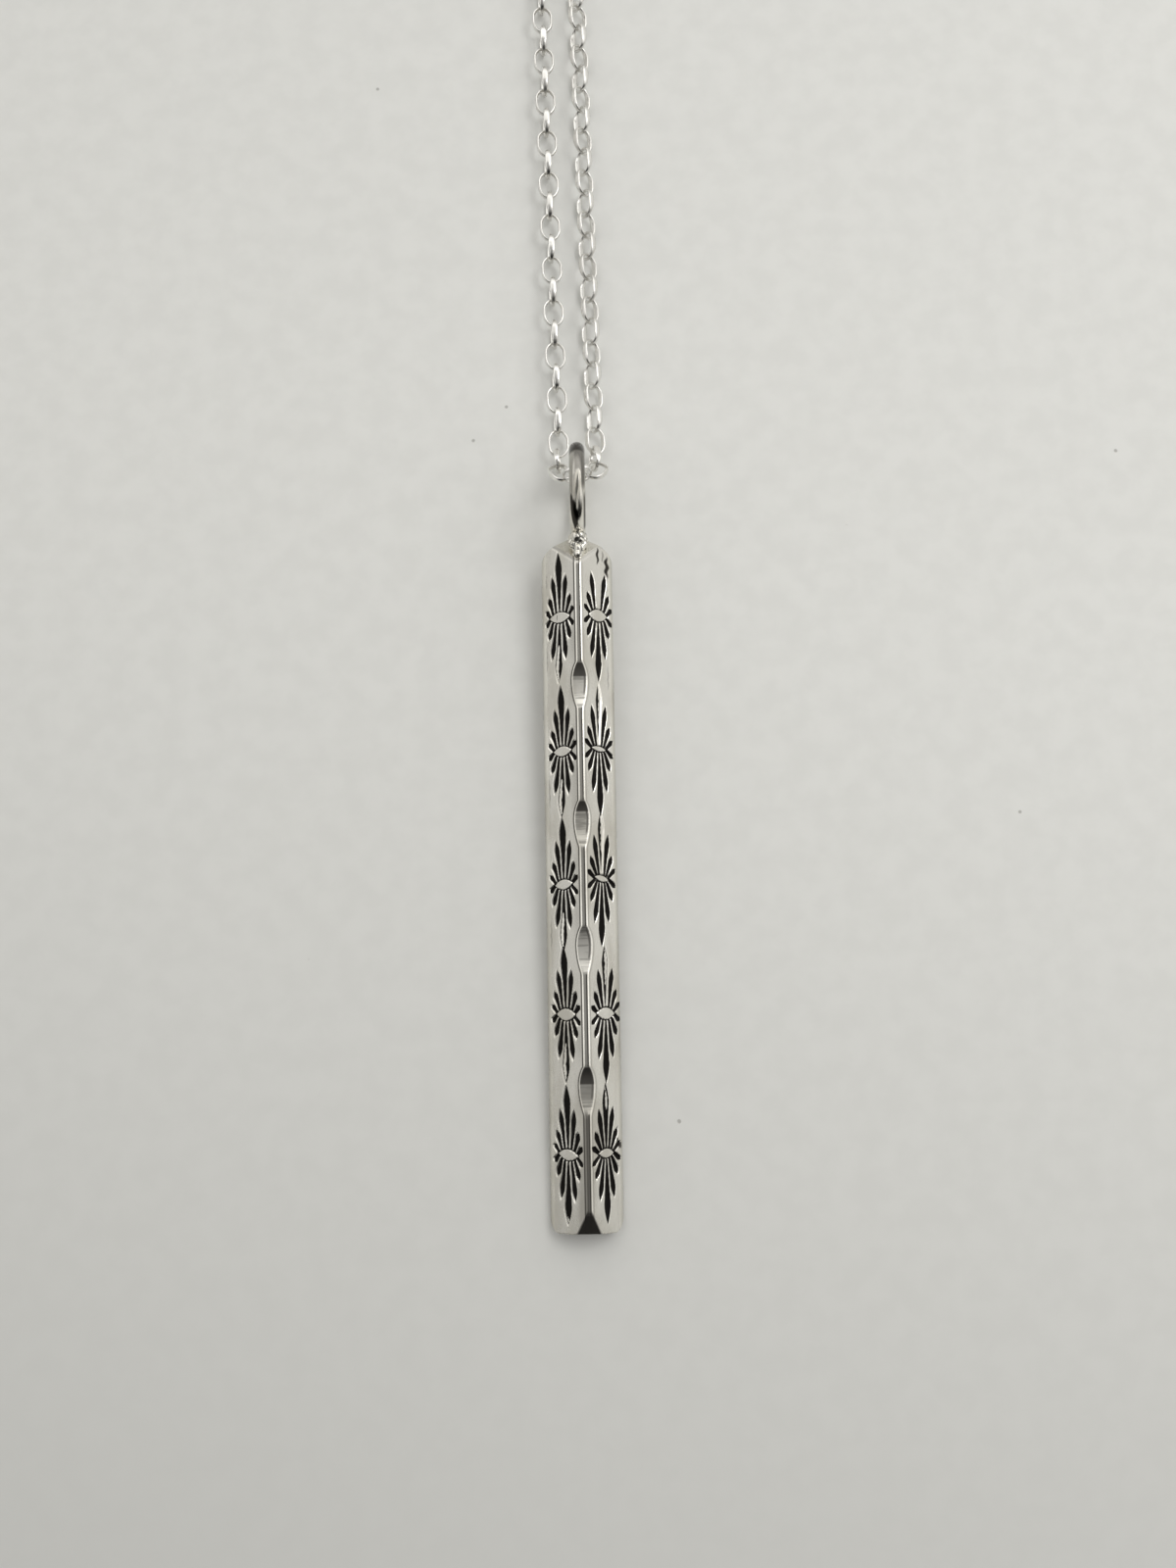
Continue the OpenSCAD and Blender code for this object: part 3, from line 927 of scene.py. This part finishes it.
@dataclass
class BelcherChain:
    """A loop of oval links, each a flat band that swells towards the middle of its sides."""

    layout: Layout
    width: float = 1.9
    band_middle: float = 0.6
    band_end: float = 0.28
    band_flat: float = 0.7
    rolls: Pair = (6.0, 30.0)
    roll_more: Pair = (0.0, 17.0)
    roll_links: int = 4
    shown: int = 26
    # Links at the bail, along the shown stretch and beyond it: steps, sides and share of the ellipse
    details: tuple[tuple[int, int, float], ...] = ((48, 12, 0.0), (32, 10, 0.7), (16, 6, 0.0))
    # Links at the bail: x, y and z, then heading, elevation and roll in degrees
    carried: Table = (
        (0.20, 36.85, 3.50, 8, 0, 68),
        (-1.36, 37.19, 2.92, 122.7, -34.5, 17.5),
        (-1.59, 38.81, 1.58, 90.6, -39.8, 85),
        (1.89, 37.40, 2.81, 53.9, -35.3, -14.2),
        (1.82, 39.00, 1.58, 98.4, -31.6, -68),
    )

    def link(self, steps: int, sides: int, oval: float) -> tuple[Array, Array]:
        """One link: a rounded oblong section carried round an oblong with round ends.

        The path is a mix of an oblong with straight sides and of an ellipse, point by point at equal
        outward directions, so both share their directions.

        Args:
            steps: number of sections round the path.
            sides: number of points in a section.
            oval: share of the ellipse.

        Returns:
            Its points and its faces.
        """
        wall = self.layout.link_wall
        long, r = (self.layout.link_length - wall) / 2, (self.width - wall) / 2
        a = long - r
        whole = 4 * a + 2 * pi * r
        s = (np.arange(steps) + 0.5) * whole / steps - a
        back, home = s - pi * r, s - 2 * (pi * r + a)
        turned = np.clip(s / r, 0, pi) + np.clip((back - 2 * a) / r, 0, pi)
        slide = a + np.clip(s, -a, 0) - np.clip(back, 0, 2 * a) + np.clip(home, 0, a)
        out = np.stack([np.sin(turned), np.cos(turned)], -1)
        oblong = np.stack([slide, np.zeros_like(slide)], -1) + r * out
        ellipse = out * [long ** 2, r ** 2] / np.hypot(out[:, 0] * long, out[:, 1] * r)[:, None]
        path = oblong + (ellipse - oblong) * oval * np.abs(out[:, :1]) ** 0.5
        rest = self.layout.link_length / 2 - self.band_flat / 2
        t = np.clip((np.abs(path[:, 0]) - self.band_flat / 2) / rest, 0, 1)
        half = (self.band_middle + (self.band_end - self.band_middle) * t) / 2
        u = np.linspace(0, 2 * pi, sides, endpoint=False) + pi / sides
        thick = np.sign(np.cos(u)) * np.abs(np.cos(u)) ** 0.7 * wall / 2
        high = np.sign(np.sin(u)) * np.abs(np.sin(u)) ** 0.55
        flat = path[:, None, :] + out[:, None, :] * thick[None, :, None]
        points = np.concatenate([flat, (half[:, None] * high[None, :])[..., None]], -1)
        return points.reshape(-1, 3), grid_faces(steps, sides, True, True)

    def route(self, s: Array) -> tuple[Array, Array, Array]:
        """Right half of the loop: a straight strand, an outward arc, and the round of the neck.

        Args:
            s: distances along it from the foot of the loop's axis.

        Returns:
            The x, the y and the heading in degrees at each distance.
        """
        lay = self.layout
        flare, (turn_radius, radius, neck_y) = radians(lay.flare), lay.neck
        turned = np.clip((s - lay.run) / turn_radius, 0.0, flare)
        x = lay.strand + turn_radius * (1 - np.cos(turned))
        y = np.minimum(s, lay.run) + turn_radius * np.sin(turned)
        angle = (s - lay.run - turn_radius * flare) / radius - flare
        on_neck = angle > -flare
        x = np.where(on_neck, radius * np.cos(angle), x)
        y = np.where(on_neck, neck_y + radius * np.sin(angle), y)
        return x, y, np.where(on_neck, 90 + np.degrees(angle), 90 - np.degrees(turned))

    def places(self) -> tuple[Array, Array]:
        """Where each link lies.

        Returns:
            One turn matrix and one middle for each link: the carried ones, then each strand in turn,
            nearest the bail first.
        """
        turns, middles = [], []
        for x, y, z, heading, elevation, roll in self.carried:
            turns.append(turn("Z", heading) @ turn("Y", -elevation) @ turn("X", roll))
            middles.append(np.array([x, y, z]) + self.layout.shift)
        count = self.layout.side_links
        k = np.arange(count)
        for side, first, roll, more in zip(Side, (0.0, self.layout.first_right), self.rolls, self.roll_more):
            x, y, heading = self.route(first + (k + 0.5) * self.layout.pitch)
            spots = np.stack([side.value * x, y, np.zeros(count)], -1)
            middles += list(self.layout.from_loop(spots))
            rolled = (roll + more * np.minimum(1.0, k / self.roll_links)) * (1 - k / (count - 1)) + 90 * k
            facing = 90 + side.value * (heading - 90) + self.layout.lean
            turns += [turn("Z", h) @ turn("X", r) for h, r in zip(facing, rolled)]
        return np.array(turns), np.array(middles)

    def build(self) -> Piece:
        """All the links as one mesh, finer where the chain lies near the bail."""
        turns, middles = self.places()
        k = np.arange(self.layout.side_links)
        rank = np.r_[np.full(len(self.carried), -1), k, k]
        groups = (rank < 0, (rank >= 0) & (rank < self.shown), rank >= self.shown)
        points, faces, dark, start = [], [], [], 0
        for chosen, (steps, sides, oval) in zip(groups, self.details):
            shape, quads = self.link(steps, sides, oval)
            placed = np.einsum("nij,pj->npi", turns[chosen], shape) + middles[chosen][:, None, :]
            offsets = start + np.arange(chosen.sum()) * len(shape)
            faces += (quads[None] + offsets[:, None, None]).reshape(-1, 4).tolist()
            points.append(placed.reshape(-1, 3))
            # Grey at each link's ends, where the links meet
            end = smooth_step(0.9, 1.25, np.abs(shape[:, 0])) * 0.15
            dark.append(np.tile(end, int(chosen.sum())))
            start += placed.shape[0] * placed.shape[1]
        piece = make_object("belcher_chain", np.concatenate(points), faces)
        set_values(piece, "tarnish_and_shade", np.concatenate(dark))
        return piece

    def dress(self) -> Piece:
        """Builds the chain in bright silver, in the place of the plainer links."""
        piece = self.build()
        SilverFinish("chain_silver", bright=(0.88, 0.87, 0.84), worn=(0.8, 0.785, 0.75)).coat(piece)
        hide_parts("chain")
        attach(piece, "root")
        return piece


@dataclass
class ClaspRing:
    """The plain ring that closes the chain at the back of the neck."""

    layout: Layout
    turns: int = 96
    sides: int = 24

    def dress(self) -> Piece:
        """Builds the ring, which lies flat, in polished silver of its own."""
        lay = self.layout
        radius = (lay.clasp_diameter - lay.clasp_wire) / 2
        points, faces, *_ = wire_ring(radius, lay.clasp_wire / 2, self.turns, self.sides)
        _, neck_radius, neck_y = lay.neck
        middle = np.array([-lay.first_right / 2, neck_y + neck_radius, 0.0])
        piece = make_object("clasp_ring", lay.from_loop(points + middle), faces)
        SilverFinish("clasp_silver", roughness=0.18).coat(piece)
        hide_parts("clasp")
        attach(piece, "root")
        return piece


@dataclass
class Studio:
    """The pale surface, the soft light and the camera."""

    layout: Layout
    focal_px: float = 1202.0
    image_height_px: float = 1600.0
    camera_place: Triple = (0.42, -2.94, 105.75)
    camera_tilt: float = 6.5
    camera_roll: float = -0.965
    camera_yaw: float = -0.15
    # How bright the room is: an axis, two limits along its direction, and the factors at them
    room: tuple[tuple[str, float, float, float, float], ...] = (
        ("Z", 0.12, 0.55, 0.5, 1.05),
        ("Z", 0.78, 0.93, 1.0, 0.32 / 1.05),
        ("X", -1.0, 1.0, 0.98, 1.2),
        ("Y", -0.75, -0.1, 0.02, 1.0),
        ("Y", 0.3, 0.65, 1.0, 1.25),
    )
    table_reach: float = 1200.0
    table_dark: Triple = (0.785, 0.785, 0.758)
    table_light: Triple = (0.82, 0.82, 0.793)
    # Painted shade: the sheet's colour turns towards this one along a way away from the bail
    table_painted_shade: Triple = (0.60, 0.60, 0.58)
    painted_shade_way: Triple = (0.25, 0.97, 0.0)
    dust: Triple = (0.12, 0.10, 0.08)
    dust_share: float = 0.45
    room_colour: Triple = (1.0, 0.99, 0.96)
    # The key light's place from the middle of the bar and its side, in millimetres, and its power in watts
    key_place: Triple = (150.0, 110.0, 240.0)
    key_size: float = 130.0
    key_power: float = 0.17

    def floor(self) -> None:
        """A wide plain sheet, with painted shade that darkens it away from the bail, and rare specks of dust.
        """
        corners = np.array([[-1, -1, 0], [1, -1, 0], [1, 1, 0], [-1, 1, 0]])
        piece = make_object("table_top", corners * self.table_reach, [[0, 1, 2, 3]])
        made = bpy.data.materials.new("table_white")
        made.use_nodes = True
        board = Board(made.node_tree)
        place = board.add("ShaderNodeTexCoord").outputs["Object"]
        soft = board.ramp(board.noise(place, 420.0, 8.0), 0.3, 0.7)
        colour = board.mix(soft, self.table_dark, self.table_light)
        # Painted shade, darker away from the bail
        away = board.add("ShaderNodeVectorMath", {0: place, 1: self.painted_shade_way}, operation="DOT_PRODUCT")
        colour = board.mix(board.ramp(away.outputs["Value"], -0.05, -0.2), colour, self.table_painted_shade)
        grains = board.add("ShaderNodeTexVoronoi", {"Vector": place, "Scale": 230.0})
        rare = board.ramp(board.noise(place, 160.0, 1.0), 0.63, 0.66)
        speck = board.math("MULTIPLY", board.ramp(grains.outputs["Distance"], 0.055, 0.03), rare)
        colour = board.mix(board.math("MULTIPLY", speck, self.dust_share), colour, self.dust)
        board.feed(made.node_tree.nodes["Principled BSDF"], {
            "Base Color": colour,
            "Roughness": 0.8,
            "Specular IOR Level": 0.2,
        })
        piece.data.materials.append(made)

    def world(self) -> None:
        """The room as the silver mirrors it, by direction.

        It is bright half way up on all sides, greyer overhead and at the horizon, brighter on the right
        and beyond the bail, and almost black on the side of the bar's square end.
        """
        world = bpy.data.worlds.new("soft_room")
        bpy.context.scene.world = world
        world.use_nodes = True
        board = Board(world.node_tree)
        here = board.add("ShaderNodeTexCoord").outputs["Generated"]
        way = board.add("ShaderNodeSeparateXYZ", {"Vector": here})
        level = 1.0
        for axis, *limits in self.room:
            level = board.math("MULTIPLY", level, board.ramp(way.outputs[axis], *limits))
        tint = board.add("ShaderNodeVectorMath", {0: self.room_colour, "Scale": level}, operation="SCALE")
        board.feed(world.node_tree.nodes["Background"], {"Color": tint.outputs["Vector"]})

    def lamp(self) -> None:
        """The key light: square and soft, and turned to the middle of the bar."""
        light = bpy.data.lights.new("key_light", "AREA")
        light.size = self.key_size * MM
        light.energy = self.key_power
        lamp = add_object("key_light", light)
        spot = np.array(self.key_place) * MM
        back = spot / np.linalg.norm(spot)
        right = np.cross([0.0, 1.0, 0.0], back)
        right /= np.linalg.norm(right)
        frame = Matrix(np.column_stack([right, np.cross(back, right), back]).tolist()).to_4x4()
        lamp.matrix_world = Matrix.Translation((self.layout.shift * MM + spot).tolist()) @ frame

    def camera(self) -> None:
        """The camera at the photograph's angle: almost straight above, tipped towards the clasp."""
        data = bpy.data.cameras.new("camera")
        data.sensor_width = 36.0
        data.lens = self.focal_px * data.sensor_width / self.image_height_px
        data.clip_start, data.clip_end = 0.005, 10.0
        eye = add_object("camera", data)
        facing = turn("Y", self.camera_yaw) @ turn("X", self.camera_tilt) @ turn("Z", self.camera_roll)
        place = (np.array(self.camera_place) + self.layout.shift) * MM
        eye.matrix_world = Matrix.Translation(place.tolist()) @ Matrix(facing.tolist()).to_4x4()
        bpy.context.scene.camera = eye

    def build(self) -> None:
        """Sets up the surface, the world, the light and the camera."""
        self.floor()
        self.world()
        self.lamp()
        self.camera()
        bpy.context.scene.view_settings.view_transform = "Standard"


def main() -> None:
    """Builds the necklace and its studio on the solid part."""
    logging.basicConfig(level=logging.INFO, format="%(name)s: %(message)s")
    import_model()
    layout = Layout()
    bar = StampedBar(layout).dress()
    ring, solder = BailRing(layout).dress()
    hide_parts("pendant")
    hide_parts("pendant")
    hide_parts("pendant")
    chain = BelcherChain(layout).dress()
    clasp = ClaspRing(layout).dress()
    for piece in (bar, ring, solder, chain, clasp):
        LOG.info("%s has %d vertices", piece.name, len(piece.data.vertices))
    Studio(layout).build()


if __name__ == "__main__":
    main()
